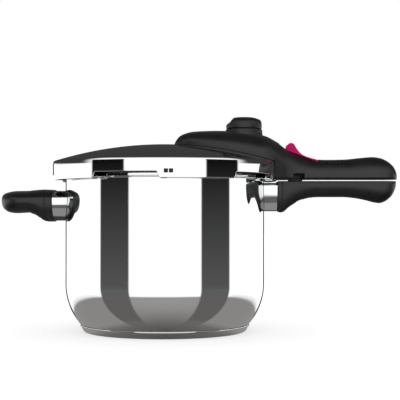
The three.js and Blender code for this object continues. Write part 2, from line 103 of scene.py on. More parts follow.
def bevelEdges(piece, width, segments=3, angle=40):
    # rounds every edge sharper than the angle, in mm
    bevel = piece.modifiers.new("round edges", "BEVEL")
    bevel.width, bevel.segments = width * mm, segments
    bevel.limit_method, bevel.angle_limit = "ANGLE", math.radians(angle)
    bevel.harden_normals = False
    applyModifiers(piece)
    smoothOver(piece)
    return piece


def box(name, x, y, z):
    # a block between pairs of limits, as a 2 x 4 grid closed at both ends
    ring = np.array([[y[0], z[0]], [y[1], z[0]], [y[1], z[1]], [y[0], z[1]]])
    return prism(name, ring, x, "x")


def prism(name, outline, span, along):
    # a flat outline carried straight along an axis, closed with a face at each end
    outline = np.asarray(outline, dtype=float)
    count = len(outline)
    ends = []
    for at in span:
        fixed = np.full(count, float(at))
        if along == "x":
            ends.append(np.column_stack([fixed, outline]))
        elif along == "y":
            ends.append(np.column_stack([outline[:, 0], fixed, outline[:, 1]]))
        else:
            ends.append(np.column_stack([outline, fixed]))
    data = bpy.data.meshes.new(name)
    faces = gridFaces(2, count, wrapCols=True).tolist()
    faces += [list(range(count)), list(range(2 * count - 1, count - 1, -1))]
    data.from_pydata((np.vstack(ends) * mm).tolist(), [], faces)
    shell = bmesh.new()
    shell.from_mesh(data)
    bmesh.ops.recalc_face_normals(shell, faces=shell.faces)
    shell.to_mesh(data)
    shell.free()
    piece = bpy.data.objects.new(name, data)
    bpy.context.scene.collection.objects.link(piece)
    return piece


# lines

def softLine(corners, steps=6):
    # a line through corners of (u, v, radius), each corner with a radius turned into an arc:
    # the arc's points are a quadratic blend between the two tangent points and the corner
    corners = [np.array(c, dtype=float) for c in corners]
    line = []
    for index, corner in enumerate(corners):
        here, radius = corner[:2], (corner[2] if len(corner) > 2 else 0)
        if radius == 0 or index in (0, len(corners) - 1):
            line.append(here[None])
            continue
        before, after = corners[index - 1][:2] - here, corners[index + 1][:2] - here
        reach = [min(radius, np.linalg.norm(arm) * 0.49) for arm in (before, after)]
        start = here + before / np.linalg.norm(before) * reach[0]
        end = here + after / np.linalg.norm(after) * reach[1]
        t = np.linspace(0, 1, steps)[:, None]
        weight = math.sqrt(0.5)
        low, mid, high = (1 - t) ** 2, 2 * weight * t * (1 - t), t ** 2
        line.append((low * start + mid * here + high * end) / (low + mid + high))
    return np.vstack(line)


def smoothCurve(points, at):
    # a monotone-safe curve through (u, v) points, read at the given u: cubic pieces whose slopes are
    # the harmonic means of their neighbours' slopes
    points = np.asarray(points, dtype=float)
    u, v = points[:, 0], points[:, 1]
    run = np.diff(u)
    rise = np.diff(v) / run
    slope = np.empty_like(u)
    slope[0], slope[-1] = rise[0], rise[-1]
    same = rise[:-1] * rise[1:] > 0
    total = np.where(same, rise[:-1] + rise[1:], 1)
    slope[1:-1] = np.where(same, 2 * rise[:-1] * rise[1:] / total, 0)
    at = np.clip(at, u[0], u[-1])
    k = np.clip(np.searchsorted(u, at) - 1, 0, len(run) - 1)
    t = (at - u[k]) / run[k]
    return ((2 * t ** 3 - 3 * t ** 2 + 1) * v[k] + (t ** 3 - 2 * t ** 2 + t) * run[k] * slope[k]
            + (3 * t ** 2 - 2 * t ** 3) * v[k + 1] + (t ** 3 - t ** 2) * run[k] * slope[k + 1])


def turned(name, profile, axisX=0.0, sides=256, sharp=32):
    # a line of (radius, height) turned about an upright axis: x = r sin a, y = -r cos a
    profile = np.asarray(profile)
    angle = np.linspace(0, 2 * np.pi, sides, endpoint=False)[:, None]
    x = axisX + profile[:, 0] * np.sin(angle)
    y = -profile[:, 0] * np.cos(angle)
    z = np.broadcast_to(profile[:, 1], x.shape)
    closed = profile[0, 0] > 0
    faces = gridFaces(sides, len(profile), wrapRows=True, wrapCols=closed)
    return makeMesh(name, np.stack([x, y, z], axis=-1), faces, sharp)


def turnedBy(name, angle, radius, height, sharp=32):
    # the same, with a radius and height for every pair of angle (degrees) and place along the line
    a = np.radians(angle)[:, None]
    x, y = radius * np.sin(a), -radius * np.cos(a)
    faces = gridFaces(len(angle), radius.shape[1], wrapRows=True)
    return makeMesh(name, np.stack([x, y, height], axis=-1), faces, sharp)


def smoothStep(value, low, high):
    t = np.clip((value - low) / (high - low), 0, 1)
    return t * t * (3 - 2 * t)


# materials

def linear(code):
    # an sRGB hex colour as linear light
    part = np.array([int(code[i:i + 2], 16) / 255 for i in (1, 3, 5)])
    light = np.where(part <= 0.04045, part / 12.92, ((part + 0.055) / 1.055) ** 2.4)
    return (*light.tolist(), 1.0)


def addNode(tree, kind, links=None, stops=(), **settings):
    # one node: a setting is a property of that name, or else an input (in3 is input number 3); links feed
    # its inputs from sockets or numbers, and stops of (place, hex colour) fill a colour ramp
    node = tree.nodes.new(kind)
    for key, value in settings.items():
        if hasattr(node, key):
            setattr(node, key, value)
        else:
            numbered = key.startswith("in") and key[2:].isdigit()
            node.inputs[int(key[2:]) if numbered else key.replace("_", " ")].default_value = value
    for key, source in (links or {}).items():
        if isinstance(source, (int, float)):
            node.inputs[key].default_value = source
        else:
            tree.links.new(source, node.inputs[key])
    for index, (place, colour) in enumerate(stops):
        band = node.color_ramp.elements
        band[index].position, band[index].color = place, linear(colour)
    return node


def newMaterial(name):
    material = bpy.data.materials.new(name)
    material.use_nodes = True
    tree = material.node_tree
    tree.nodes.clear()
    shader = addNode(tree, "ShaderNodeBsdfPrincipled")
    addNode(tree, "ShaderNodeOutputMaterial", {"Surface": shader.outputs[0]})
    where = addNode(tree, "ShaderNodeTexCoord").outputs["Object"]
    return material, tree, shader, where


def setShader(shader, **values):
    for key, value in values.items():
        shader.inputs[key.replace("_", " ")].default_value = value


def mix(tree, share, first, second):
    # first + share * (second - first)
    change = addNode(tree, "ShaderNodeMath", {0: second, 1: first}, operation="SUBTRACT").outputs[0]
    scaled = addNode(tree, "ShaderNodeMath", {0: share, 1: change, 2: first}, operation="MULTIPLY_ADD")
    return scaled.outputs[0]


def step(tree, value, low, high):
    # 0 below low, 1 above high, with a soft step between
    return addNode(tree, "ShaderNodeMapRange", {"Value": value}, interpolation_type="SMOOTHSTEP",
                   in1=low, in2=high, in3=0.0, in4=1.0).outputs[0]


print("helpers ready")


# pan

lugs = dict(count=5, middle=18.0)
pan = dict(radius=110.8, wall=1.0, floor=8.6, corner=67.5, cornerZ=53.0, wallTop=167.4, rim=175.0,
           rimOut=1.8, rimRound=1.0, flange=2.6,
           tabReach=121.0, tabZ=168.6, tabThick=1.6, tabFrom=-14.6, tabTo=26.6, tabSoft=1.1)


def fromLug(angle):
    # degrees from the nearest lug's middle
    step = 360 / lugs["count"]
    return (angle - lugs["middle"] + step / 2) % step - step / 2


def cornerArc(radius, count=26):
    # the pan's big corner: a circle about one centre, from the floor's edge up to the wall
    start = -math.asin((pan["cornerZ"] - pan["floor"] - (pan["corner"] - radius)) / radius)
    angle = np.linspace(start, 0, count)
    centre = pan["radius"] - pan["corner"]
    return np.column_stack([centre + radius * np.cos(angle), pan["cornerZ"] + radius * np.sin(angle)])


def makePan():
    # a wall and floor of even thickness turned about Z, with a flange whose reach swells into five tabs
    angle = np.arange(0, 360, 0.5)
    off = fromLug(angle)
    off = np.where(off < pan["tabFrom"] - 6, off + 360 / lugs["count"], off)
    tab = smoothStep(off, pan["tabFrom"] - pan["tabSoft"], pan["tabFrom"])
    tab *= 1 - smoothStep(off, pan["tabTo"], pan["tabTo"] + pan["tabSoft"])
    plain = pan["radius"] + pan["flange"]
    reach = (plain + tab * (pan["tabReach"] - plain))[:, None]
    outer, inner = cornerArc(pan["corner"]), cornerArc(pan["corner"] - pan["wall"])[::-1]
    wallZ = pan["cornerZ"] + (pan["wallTop"] - pan["cornerZ"]) * np.linspace(0, 1, 9) ** 1.6
    lowWall = np.column_stack([np.full(9, pan["radius"]), wallZ])[1:]
    foot = np.column_stack([np.linspace(0, outer[0, 0], 8), np.full(8, pan["floor"])])[:-1]
    tabZ, tabTop = pan["tabZ"], pan["tabZ"] + pan["tabThick"]
    flange = [(-1, tabZ - 0.5), (-0.97, tabZ - 0.15), (-0.9, tabZ), (-0.25, tabZ), (-0.08, tabZ + 0.15),
              (0, tabZ + 0.55), (0, tabZ + 1.05), (-0.08, tabZ + 1.45), (-0.25, tabTop), (-0.75, tabTop)]
    top = pan["rim"]
    rimR = pan["radius"] + pan["rimOut"]
    rim = softLine([(rimR, 170.4), (rimR, top, pan["rimRound"]), (pan["radius"] - pan["wall"], top, 0.7),
                    (pan["radius"] - pan["wall"], 170.0)], 6)
    bore = np.full(9, pan["radius"] - pan["wall"])
    innerWall = np.column_stack([bore, np.linspace(168, pan["cornerZ"], 9)])[:-1]
    inside = np.column_stack([np.linspace(inner[-1, 0], 0, 8), np.full(8, inner[-1, 1])])[1:]
    before = np.vstack([foot, outer, lowWall])
    after = np.vstack([rim, innerWall, inner, inside])
    rows = len(angle)
    place = np.array(flange)
    flangeR = reach + place[:, 0] * (reach - pan["radius"])
    flangeR[:, -1] = rimR
    spread = lambda line: (np.tile(line[:, 0], (rows, 1)), np.tile(line[:, 1], (rows, 1)))
    firstR, firstZ = spread(before)
    lastR, lastZ = spread(after)
    radius = np.hstack([firstR, flangeR, lastR])
    height = np.hstack([firstZ, np.tile(place[:, 1], (rows, 1)), lastZ])
    return turnedBy("pan", angle, radius, height, 40)


base = dict(radius=94.0, height=8.0, foot=90.2, wall=1.0)


def makeBase():
    # a shallow pressed cup turned about Z, with a rolled lip that stands a little proud of the pan's foot
    r, h, f, w = base["radius"], base["height"], base["foot"], base["wall"]
    line = softLine([(0, 0), (f - 20, 0), (f, 0, 2.0), (r - 0.9, h - 2.5, 0.5), (r, h - 1.9, 0.4),
                     (r, h, 0.35), (r - w, h, 0.3), (r - w - 0.9, h - 1.8, 0.5), (f - 1.2, w, 1.0),
                     (0, w)], 6)
    return turned("base_plate", line, sides=384, sharp=60)


# lid

lid = dict(radius=124.8, wall=1.0, dome=405.0, top=208.0, edge=122.0, low=167.0, high=173.6,
           lugInner=114.4, lugThick=1.2, lugHalf=14.6, lugSoft=0.9, stepFrom=18.5, stepTo=20.4)


def domeZ(r):
    return lid["top"] - lid["dome"] + np.sqrt(lid["dome"] ** 2 - np.square(r))


def makeLid():
    # a spherical cap that turns into an upright skirt; the skirt's lower edge rises and falls five times
    # round, and its lowest stretches turn in as lugs
    angle = np.arange(0, 360, 0.75)
    fine = np.arange(0, 360, 0.125)
    away = np.abs(fromLug(fine))
    angle = np.union1d(angle, fine[((away > 14.4) & (away < 15.7)) | ((away > 18.3) & (away < 20.6))])
    off = np.abs(fromLug(angle))
    bottom = lid["low"] + (lid["high"] - lid["low"]) * smoothStep(off, lid["stepFrom"], lid["stepTo"])
    lug = 1 - smoothStep(off, lid["lugHalf"], lid["lugHalf"] + lid["lugSoft"])
    edge, R, w = lid["edge"], lid["radius"], lid["wall"]
    domeR = edge * np.sin(np.linspace(0, np.pi / 2, 26))
    cap = np.column_stack([domeR, domeZ(domeR)])
    under = np.column_stack([domeR * (edge - w) / edge, domeZ(domeR) - w])[::-1]
    edgeZ = float(domeZ(edge))
    bend = softLine([cap[-2], (R, edgeZ - 0.75, 3.2), (R, edgeZ - 7)], 10)[1:]
    rows = len(angle)
    skirt = np.array([[0.04, 0.3, 0.6, 0.85, 0.97]])
    skirtTop = edgeZ - 7
    lowest = bottom[:, None]
    skirtZ = skirtTop + (lowest + 0.9 - skirtTop) * skirt
    reach = (R - w) - lug[:, None] * (R - w - lid["lugInner"])
    t = lid["lugThick"]
    turn = [(R, lowest + 0.9), (R - 0.06, lowest + 0.55), (R - 0.24, lowest + 0.24), (R - 0.6, lowest),
            (reach + 0.3, lowest), (reach + 0.08, lowest + 0.12), (reach, lowest + 0.4),
            (reach, lowest + t - 0.4), (reach + 0.1, lowest + t - 0.1),
            (reach + 0.3 * lug[:, None], lowest + t),
            (R - w, lowest + t + 0.3)]
    full = lambda value: np.broadcast_to(value, (rows, 1)).astype(float)
    turnR = np.hstack([full(r) for r, _ in turn])
    turnZ = np.hstack([full(z) for _, z in turn])
    insideZ = np.linspace(0, 1, 5)[None, 1:] * (edgeZ - 5 - (lowest + t + 0.3)) + lowest + t + 0.3
    outR = np.tile(np.concatenate([cap[:-2, 0], bend[:, 0]]), (rows, 1))
    outZ = np.tile(np.concatenate([cap[:-2, 1], bend[:, 1]]), (rows, 1))
    backBend = softLine([(R - w, edgeZ - 5), (R - w, edgeZ - 1.8, 2.2), tuple(under[1])], 8)[1:-1]
    lastR = np.concatenate([backBend[:, 0], under[1:, 0]])
    lastZ = np.concatenate([backBend[:, 1], under[1:, 1]])
    radius = np.hstack([outR, np.full(skirtZ.shape, R), turnR, np.full(insideZ.shape, R - w),
                        np.tile(lastR, (rows, 1))])
    height = np.hstack([outZ, skirtZ, turnZ, insideZ, np.tile(lastZ, (rows, 1))])
    return turnedBy("lid", angle, radius, height, 40)


seats = [dict(x=88.6, top=201.0, radius=10.5, hole=5.3), dict(x=58.0, top=206.0, radius=9.5, hole=5.3)]
plainHoles = [(36.0, 4.0), (21.5, 2.4), (106.0, 2.4)]
windows = dict(centres=(4.8, 9.95), half=2.15, z=(172.1, 176.3))


def cutLid(piece):
    # two small raised flats for the valves, the holes, and the windows in the skirt
    tools = []
    for seat in seats:
        low = float(domeZ(seat["x"] + seat["radius"])) - 1.6
        r, top, w = seat["radius"], seat["top"], lid["wall"]
        boss = softLine([(0, low), (r, low), (r, top, 0.8), (0, top)], 5)
        cup = softLine([(0, 180), (r - w, 180), (r - w, top - w, 0.6), (0, top - w)], 5)
        tools.append((turned("boss", boss, seat["x"], 64), "UNION"))
        tools.append((turned("cup", cup, seat["x"], 64), "DIFFERENCE"))
        tools.append((turned("hole", [(0, 180), (seat["hole"], 180), (seat["hole"], 220), (0, 220)],
                             seat["x"], 48), "DIFFERENCE"))
    for x, r in plainHoles:
        tools.append((turned("hole", [(0, 180), (r, 180), (r, 220), (0, 220)], x, 40), "DIFFERENCE"))
    for centre in windows["centres"]:
        span = (centre - windows["half"], centre + windows["half"])
        tools.append((box("window", span, (-130, -115), windows["z"]), "DIFFERENCE"))
    return cutWith(piece, tools, 40)


def lidEnvelope(grow):
    # the lid's outside, grown a little and filled below, for shaping what sits on it
    r = np.linspace(0, lid["edge"], 40)
    edgeZ = float(domeZ(lid["edge"]))
    R = lid["radius"] + grow
    side = softLine([(lid["edge"] + 0.3, edgeZ + grow - 0.1), (R, edgeZ + grow - 0.8, 3), (R, 150)], 8)
    line = np.vstack([np.column_stack([r, domeZ(r) + grow]), side, [(0, 150)]])
    return turned("envelope", line, sides=512)


pieces = {}
pieces["pan"] = makePan()
pieces["base_plate"] = makeBase()
pieces["lid"] = cutLid(makeLid())
print("pan and lid made")


# long handles

upper = dict(
    tip=10.2, end=259.7, bottom=169.0, bevel=2.8, draft=0.4, stations=190,
    crown=[(10, 207.9), (12.6, 213.2), (16.7, 217.8), (22, 220.4), (30.2, 222.5), (43, 223.4),
           (57, 223.7), (72, 223.4), (90, 222.0), (111, 218.2), (124.5, 211.6), (136, 204.0),
           (151.5, 195.6), (165, 192.2), (180, 191.2), (200, 191.5), (219, 193.3), (232.4, 194.3),
           (241, 193.2), (248, 190.2), (254, 185.6), (257.6, 180.6), (259.2, 176.6), (259.7, 173.4)],
    half=[(90, 35.0), (106, 34.6), (118, 31.6), (127, 27.0), (136, 22.4), (148, 19.0), (162, 17.6),
          (185, 17.0), (215, 17.6), (236, 18.0), (242, 18.0)],
    wide=90.0, endLength=17.7, crownPower=2.2, sidePower=2.1)
lower = dict(
    root=125.6, end=258.8, top=167.0, bevel=1.2, draft=0.4, stations=150,
    belly=[(125.6, 132.9), (130.2, 132.0), (133.8, 133.6), (138, 137.4), (144.8, 142.0), (151.5, 145.4),
           (158.2, 147.8), (165, 148.9), (172, 149.3), (199, 149.3), (212, 148.2), (225.6, 145.6),
           (234, 143.4), (240, 142.6), (245.8, 144.2), (252, 148.6), (256.4, 154.8), (258.2, 160.0),
           (258.8, 163.6)],
    half=[(125.6, 15.6), (134, 15.8), (150, 16.6), (172, 16.8), (200, 16.8), (225, 17.6), (242, 17.8)],
    endLength=16.8, power=2.05)
groove = dict(at=130.6, width=0.5, depth=0.45)


def superCurve(count, power):
    # half of a superellipse, from +1 across the top to -1: cos and sin raised to 2 / power
    a = np.linspace(0, np.pi, count)
    across = np.sign(np.cos(a)) * np.abs(np.cos(a)) ** (2 / power[0])
    return across, np.sin(a) ** (2 / power[1])


def roundEnd(x, start, length, power=2.3):
    # falls from 1 at the start to 0 a length further on, as a superellipse does
    t = np.clip((x - start) / length, 0, 1)
    return (1 - t ** power) ** (1 / power)


def endSpaced(count, low, high, lowEase=True):
    # stations that crowd towards the ends, as a cosine does
    t = np.linspace(0, 1, count)
    return low + (high - low) * ((1 - np.cos(np.pi * t)) / 2 if lowEase else np.sin(np.pi * t / 2))


def gripSections(x, half, crown, shoulder, flat, bevel, draft, power):
    # a closed section at every station: a superelliptic crown, short sides that lean in by the draft, a
    # quarter-round edge and a flat
    across, rise = superCurve(65, power)
    w, top, mid, low = (np.asarray(v, dtype=float)[:, None] for v in (half, crown, shoulder, flat))
    sign = np.sign(low - mid)
    cut = np.minimum(bevel, w * 0.6)
    narrow = np.minimum(draft, w * 0.3)
    t = np.linspace(0, 1, 5)[None, 1:]
    turn = np.linspace(0, np.pi / 2, 7)[None, 1:]
    sideY = np.hstack([w - narrow * t, w - narrow - cut * (1 - np.cos(turn))])
    sideZ = np.hstack([mid + (low - sign * cut - mid) * t, low - sign * cut * (1 - np.sin(turn))])
    flatY = (w - narrow - cut) * np.linspace(1, -1, 9)[None, 1:-1]
    y = np.hstack([w * across, -sideY, -flatY, sideY[:, ::-1]])
    z = np.hstack([mid + (top - mid) * rise, sideZ, np.broadcast_to(low, flatY.shape), sideZ[:, ::-1]])
    return np.stack([np.broadcast_to(x[:, None], y.shape), y, z], axis=-1)


def closeEnd(points, row, inset=0.5):
    # a flat end: an edge row drawn in a little, then every point at the middle
    edge = points[row]
    middle = edge.mean(axis=0)
    shrink = 1 - inset / np.abs(edge - middle).max()
    step = -inset if row == 0 else inset
    soft = middle + (edge - middle) * shrink
    rows = [np.broadcast_to(middle, edge.shape)[None], soft[None]]
    body = points.copy()
    direction = points[1 if row == 0 else -2].mean(axis=0) - middle
    direction /= np.linalg.norm(direction)
    body[row] = edge + direction * inset
    return np.concatenate(rows + [body]) if row == 0 else np.concatenate([body] + rows[::-1])


def makeUpperHandle():
    u = upper
    x = endSpaced(u["stations"], u["tip"], u["end"])
    half = smoothCurve(u["half"], x) * roundEnd(-x, -u["wide"], u["wide"] - u["tip"], 2.0)
    half = half * roundEnd(x, u["end"] - u["endLength"], u["endLength"], 2.4)
    crown = smoothCurve(u["crown"], x)
    onLid = domeZ(np.hypot(np.minimum(x, 118), half * 0.9))
    share = smoothStep(x, 112, 140)
    foot = onLid * (1 - share) + u["bottom"] * share
    shoulder = foot + (crown - foot) * (0.2 + 0.08 * share)
    flat = np.full_like(x, u["bottom"])
    shoulder = np.maximum(shoulder, flat + 2.2)
    crown = np.maximum(crown, shoulder)
    points = gripSections(x, half, crown, shoulder, flat, u["bevel"], u["draft"],
                          (u["crownPower"], u["sidePower"]))
    body = makeMesh("upper_grip", points, gridFaces(len(x), points.shape[1], wrapCols=True))
    return carveUpperHandle(body)


knobX, safetyX, pinX = 88.6, 58.0, 36.0
track = dict(front=135.5, z=201.5, fall=13 / 34.9, half=10.0, gap=0.3)


def column(radius, low, high, x=0.0, y=0.0, sides=48):
    piece = turned("column", [(0, low), (radius, low), (radius, high), (0, high)], x, sides)
    piece.data.transform(((1, 0, 0, 0), (0, 1, 0, y * mm), (0, 0, 1, 0), (0, 0, 0, 1)))
    return piece


def carveUpperHandle(body):
    # the collar under the knob, the hollows, the way for the catch and the slider's track
    collar = softLine([(0, 204), (23.5, 204), (21.2, 217.6, 4), (20.6, 221.0, 2), (20.6, 225.3, 0.9),
                       (0, 225.3)], 7)
    hollow = [(27, -11), (40, -17), (55, -20), (98, -21), (98, 21), (55, 20), (40, 17), (27, 11)]
    gap, fall = track["gap"], track["fall"]
    trackZ = lambda x: track["z"] - gap - (x - track["front"]) * fall
    way = [(127.9, trackZ(127.9)), (172.0, trackZ(172.0)), (172.0, 240), (127.9, 240)]
    side = track["half"] + 0.5
    tools = [
        (turned("collar", collar, knobX, 192), "UNION"),
        (lidEnvelope(0.45), "DIFFERENCE"),
        (prism("hollow", hollow, (185, 213), "z"), "DIFFERENCE"),
        (column(7.4, 190, 218.2, knobX), "DIFFERENCE"),
        (column(4.3, 205, 230, knobX), "DIFFERENCE"),
        (column(8.2, 190, 220.4, safetyX), "DIFFERENCE"),
        (column(2.3, 205, 230, pinX), "DIFFERENCE"),
        (column(2.3, 200, 216, 21.5), "DIFFERENCE"),
        (column(2.3, 185, 207, 106.0), "DIFFERENCE"),
        (box("room", (127.9, 248), (-13.6, 13.6), (160, 186.4)), "DIFFERENCE"),
        (box("notch", (142.4, 155.3), (-40, 6), (160, 175.6)), "DIFFERENCE"),
        (prism("track", way, (-side, side), "y"), "DIFFERENCE"),
        (box("slot", (136.6, 151), (-3.7, 3.7), (180, 210)), "DIFFERENCE"),
    ]
    return cutWith(body, tools, 30)


def makeCover():
    # the plate under the grip, set half a millimetre inside its rim, with a post for the spring
    half, r = 13.3, 4.0
    t = np.linspace(0, np.pi / 2, 7)
    corner = np.column_stack([np.cos(t), np.sin(t)]) * r
    places = [(247.7 - r, half - r, (1, 1)), (156.2 + r, half - r, (-1, 1)), (156.2 + r, r - half, (-1, -1)),
              (247.7 - r, r - half, (1, -1))]
    ring = [np.array([x, y]) + (corner if sx * sy > 0 else corner[::-1]) * (sx, sy)
            for x, y, (sx, sy) in places]
    plate = prism("grip_cover", np.vstack(ring), (169.5, 172.2), "z")
    bevelEdges(plate, 0.4, 2)
    post = column(1.6, 170.5, 181.5, 174.0, sides=24)
    heads = [(column(3.3, 160, 171.7, x, y, 32), "DIFFERENCE") for x, y in ((166, 10), (238, 0))]
    shanks = [(column(1.8, 160, 180, x, y, 24), "DIFFERENCE") for x, y in ((166, 10), (238, 0))]
    return cutWith(plate, [(post, "UNION")] + heads + shanks)


def makeLowerHandle():
    v = lower
    x = np.sort(np.concatenate([endSpaced(v["stations"], v["root"], v["end"], False),
                                groove["at"] + groove["width"] * np.linspace(-1.6, 1.6, 9)]))
    half = smoothCurve(v["half"], x) * roundEnd(x, v["end"] - v["endLength"], v["endLength"], 2.4)
    belly = smoothCurve(v["belly"], x)
    dip = groove["depth"] * np.exp(-((x - groove["at"]) / groove["width"]) ** 2)
    shoulder = v["top"] - np.maximum((v["top"] - belly) * 0.14, 1.6)
    belly = np.minimum(belly, shoulder)
    points = gripSections(x, half - dip, belly + dip, shoulder, np.full_like(x, v["top"]), v["bevel"],
                          v["draft"], (v["power"], v["power"]))
    points = closeEnd(points, 0)
    body = makeMesh("lower_grip", points, gridFaces(len(points), points.shape[1], wrapCols=True))
    tools = [(box("socket", (120, 161), (-7.4, 7.4), (150.6, 157.4)), "DIFFERENCE"),
             (column(2.8, 130, 162, 150.0), "DIFFERENCE"), (column(5.2, 120, 149.4, 150.0), "DIFFERENCE"),
             (box("seat", (142.6, 151.9), (-5, 5), (164.6, 170)), "DIFFERENCE")]
    return cutWith(body, tools, 30)


helper = dict(
    root=-123.0, end=-182.3, stations=110, middle=146.0, power=(2.7, 2.2), endLength=27.0, groove=-131.0,
    over=[(-182.3, 146.2), (-181.4, 150.0), (-178.7, 153.0), (-171.9, 155.2), (-165.2, 156.1),
          (-151.7, 156.3), (-145, 157.1), (-134, 157.8), (-123, 157.4)],
    under=[(-182.3, 146.0), (-181.6, 140.4), (-178.7, 135.4), (-171.9, 132.0), (-165.2, 131.3),
           (-158, 131.7), (-151.7, 131.9), (-145, 129.8), (-138.2, 125.6), (-133.8, 122.7), (-130, 121.9),
           (-123, 121.9)],
    half=[(-160, 37.8), (-148, 37.6), (-138, 36.2), (-123, 33.6)])


def makeHelperHandle():
    # sections all round: one superellipse above the middle line and one below it
    h = helper
    x = np.sort(np.concatenate([endSpaced(h["stations"], h["root"], h["end"], False),
                                h["groove"] + groove["width"] * np.linspace(-1.6, 1.6, 9)]))
    half = smoothCurve(h["half"], x) * roundEnd(-x, -h["end"] - h["endLength"], h["endLength"], 2.2)
    dip = groove["depth"] * np.exp(-((x - h["groove"]) / groove["width"]) ** 2)
    over, under = smoothCurve(h["over"], x), smoothCurve(h["under"], x)
    middle = np.minimum(h["middle"], over)
    across, rise = superCurve(61, h["power"])
    w = (half - dip)[:, None]
    y = np.hstack([w * across, -w * across[1:-1]])
    z = np.hstack([middle[:, None] + ((over - dip - middle)[:, None]) * rise,
                   middle[:, None] + ((under + dip - middle)[:, None]) * rise[1:-1]])
    points = np.stack([np.broadcast_to(x[:, None], y.shape), y, z], axis=-1)
    points = closeEnd(points[::-1], 0)
    body = makeMesh("helper_grip", points, gridFaces(len(points), points.shape[1], wrapCols=True))
    tools = [(box("socket", (-160.6, -120), (-10.4, 10.4), (136.6, 142.4)), "DIFFERENCE"),
             (column(2.8, 110, 148, -145.0), "DIFFERENCE"), (column(5.2, 110, 133.2, -145.0), "DIFFERENCE")]
    return cutWith(body, tools, 30)


# sleeves

sleeves = {
    "long_sleeve": dict(side=1, half=15.4, low=133.5, middle=161.0, high=165.2, end=125.1,
                        power=(3.0, 1.65), wall=1.0),
    "helper_sleeve_fine": dict(side=-1, half=32.8, low=123.0, middle=146.5, high=156.3, end=-122.6,
                               power=(2.3, 2.1), wall=1.0),
}


def makeSleeve(name):
    # a thin tube: its section is one superellipse above the middle height and another below it. It starts on
    # the pan's wall, where x is the root of (radius squared less y squared), and ends on a flat plane
    s = sleeves[name]
    a = np.linspace(0, 2 * np.pi, 200, endpoint=False)
    t = np.array([0, 0.03, 0.2, 0.4, 0.6, 0.8, 0.97, 1])[:, None]
    up = np.sin(a) > 0
    tall = np.where(up, s["high"] - s["middle"], s["middle"] - s["low"])
    power = np.where(up, *s["power"])

    def skin(drawIn):
        y = (s["half"] - drawIn) * np.sign(np.cos(a)) * np.abs(np.cos(a)) ** (2 / power)
        z = s["middle"] + (tall - drawIn) * np.sign(np.sin(a)) * np.abs(np.sin(a)) ** (2 / power)
        near = s["side"] * np.sqrt((pan["radius"] + 0.35) ** 2 - y * y)
        x = near + (s["end"] - near) * t
        return np.stack([x, np.broadcast_to(y, x.shape), np.broadcast_to(z, x.shape)], axis=-1)

    points = np.concatenate([skin(0), skin(s["wall"])[::-1]])
    return makeMesh(name, points, gridFaces(len(points), len(a), wrapRows=True, wrapCols=True), 50)


# knob and slider

knob = dict(radius=20.1, bottom=225.95, top=238.8, dish=0.8)


def makeKnob():
    k = knob
    r, top = k["radius"], k["top"]
    low = k["bottom"]
    line = softLine([(0, low - 0.35), (r - 3.2, low - 0.35, 0.2), (r - 2.4, low, 0.3),
                     (r - 0.5, low, 0.6), (r, low + 1.3, 0.8), (r - 0.3, 235.4, 3.4),
                     (r - 5.5, 237.5, 4.5), (r - 9.5, top, 2.0), (r - 12.5, top - k["dish"], 2.0),
                     (0, top - k["dish"])], 7)
    body = turned("selector_cap", line, knobX, 256)
    face = [(68.2, 229.7), (72.2, 232.4), (77.8, 239.0), (80, 245), (55, 245), (55, 228)]
    tools = [(prism("face", face, (-30, 30), "y"), "DIFFERENCE"),
             (column(4.1, 215, 233.4, knobX), "DIFFERENCE")]
    cutWith(body, tools, 30)
    return bevelEdges(body, 0.35, 2, 34)


def makeSlider():
    # the slider's side outline, carried across and rounded; its foot goes down through the slot
    at = lambda x: track["z"] - (x - track["front"]) * track["fall"]
    front, back, half = track["front"], 170.4, track["half"]
    line = softLine([(front + 0.1, at(front)), (front + 0.1, 204.2, 2), (137.4, 209.4, 3.0),
                     (143.4, 209.9, 2.6), (147.2, 203.0, 3.2), (151.5, 197.6, 4), (158.4, 194.1, 5),
                     (back, 190.9, 0.4), (back, at(back))], 8)
    cap = prism("thumb_slider", line, (-half, half), "y")
    bevelEdges(cap, 1.1, 4, 60)
    return cutWith(cap, [(box("foot", (144, 150), (-3, 3), (178.6, 198)), "UNION")], 30)


pieces["upper_grip"] = makeUpperHandle()
pieces["grip_cover"] = makeCover()
pieces["lower_grip"] = makeLowerHandle()
pieces["helper_grip"] = makeHelperHandle()
for name in sleeves:
    pieces[name] = makeSleeve(name)
pieces["selector_cap"] = makeKnob()
pieces["thumb_slider"] = makeSlider()
print("handles, sleeves, knob and slider made")


# finishes

def polishedSteel():
    # 18/10 stainless, mirror polished: a clean reflection with a faint haze where the mop has passed
    material, tree, shader, where = newMaterial("mirror polished stainless steel")
    setShader(shader, Base_Color=linear("#DDDEDF"), Metallic=1.0)
    haze = addNode(tree, "ShaderNodeTexNoise", {"Vector": where}, Scale=1 / 0.018, Detail=3.0)
    squeezed = addNode(tree, "ShaderNodeMapping", {"Vector": where}, in3=(60.0, 60.0, 2400.0)).outputs[0]
    lines = addNode(tree, "ShaderNodeTexNoise", {"Vector": squeezed}, Scale=1.0, Detail=2.0)
    both = addNode(tree, "ShaderNodeMath", {0: haze.outputs[0], 1: lines.outputs[0]}, operation="MULTIPLY")
    rough = addNode(tree, "ShaderNodeMapRange", {"Value": both.outputs[0]},
                    in1=0.15, in2=0.4, in3=0.018, in4=0.05)
    tree.links.new(rough.outputs[0], shader.inputs["Roughness"])
    return material


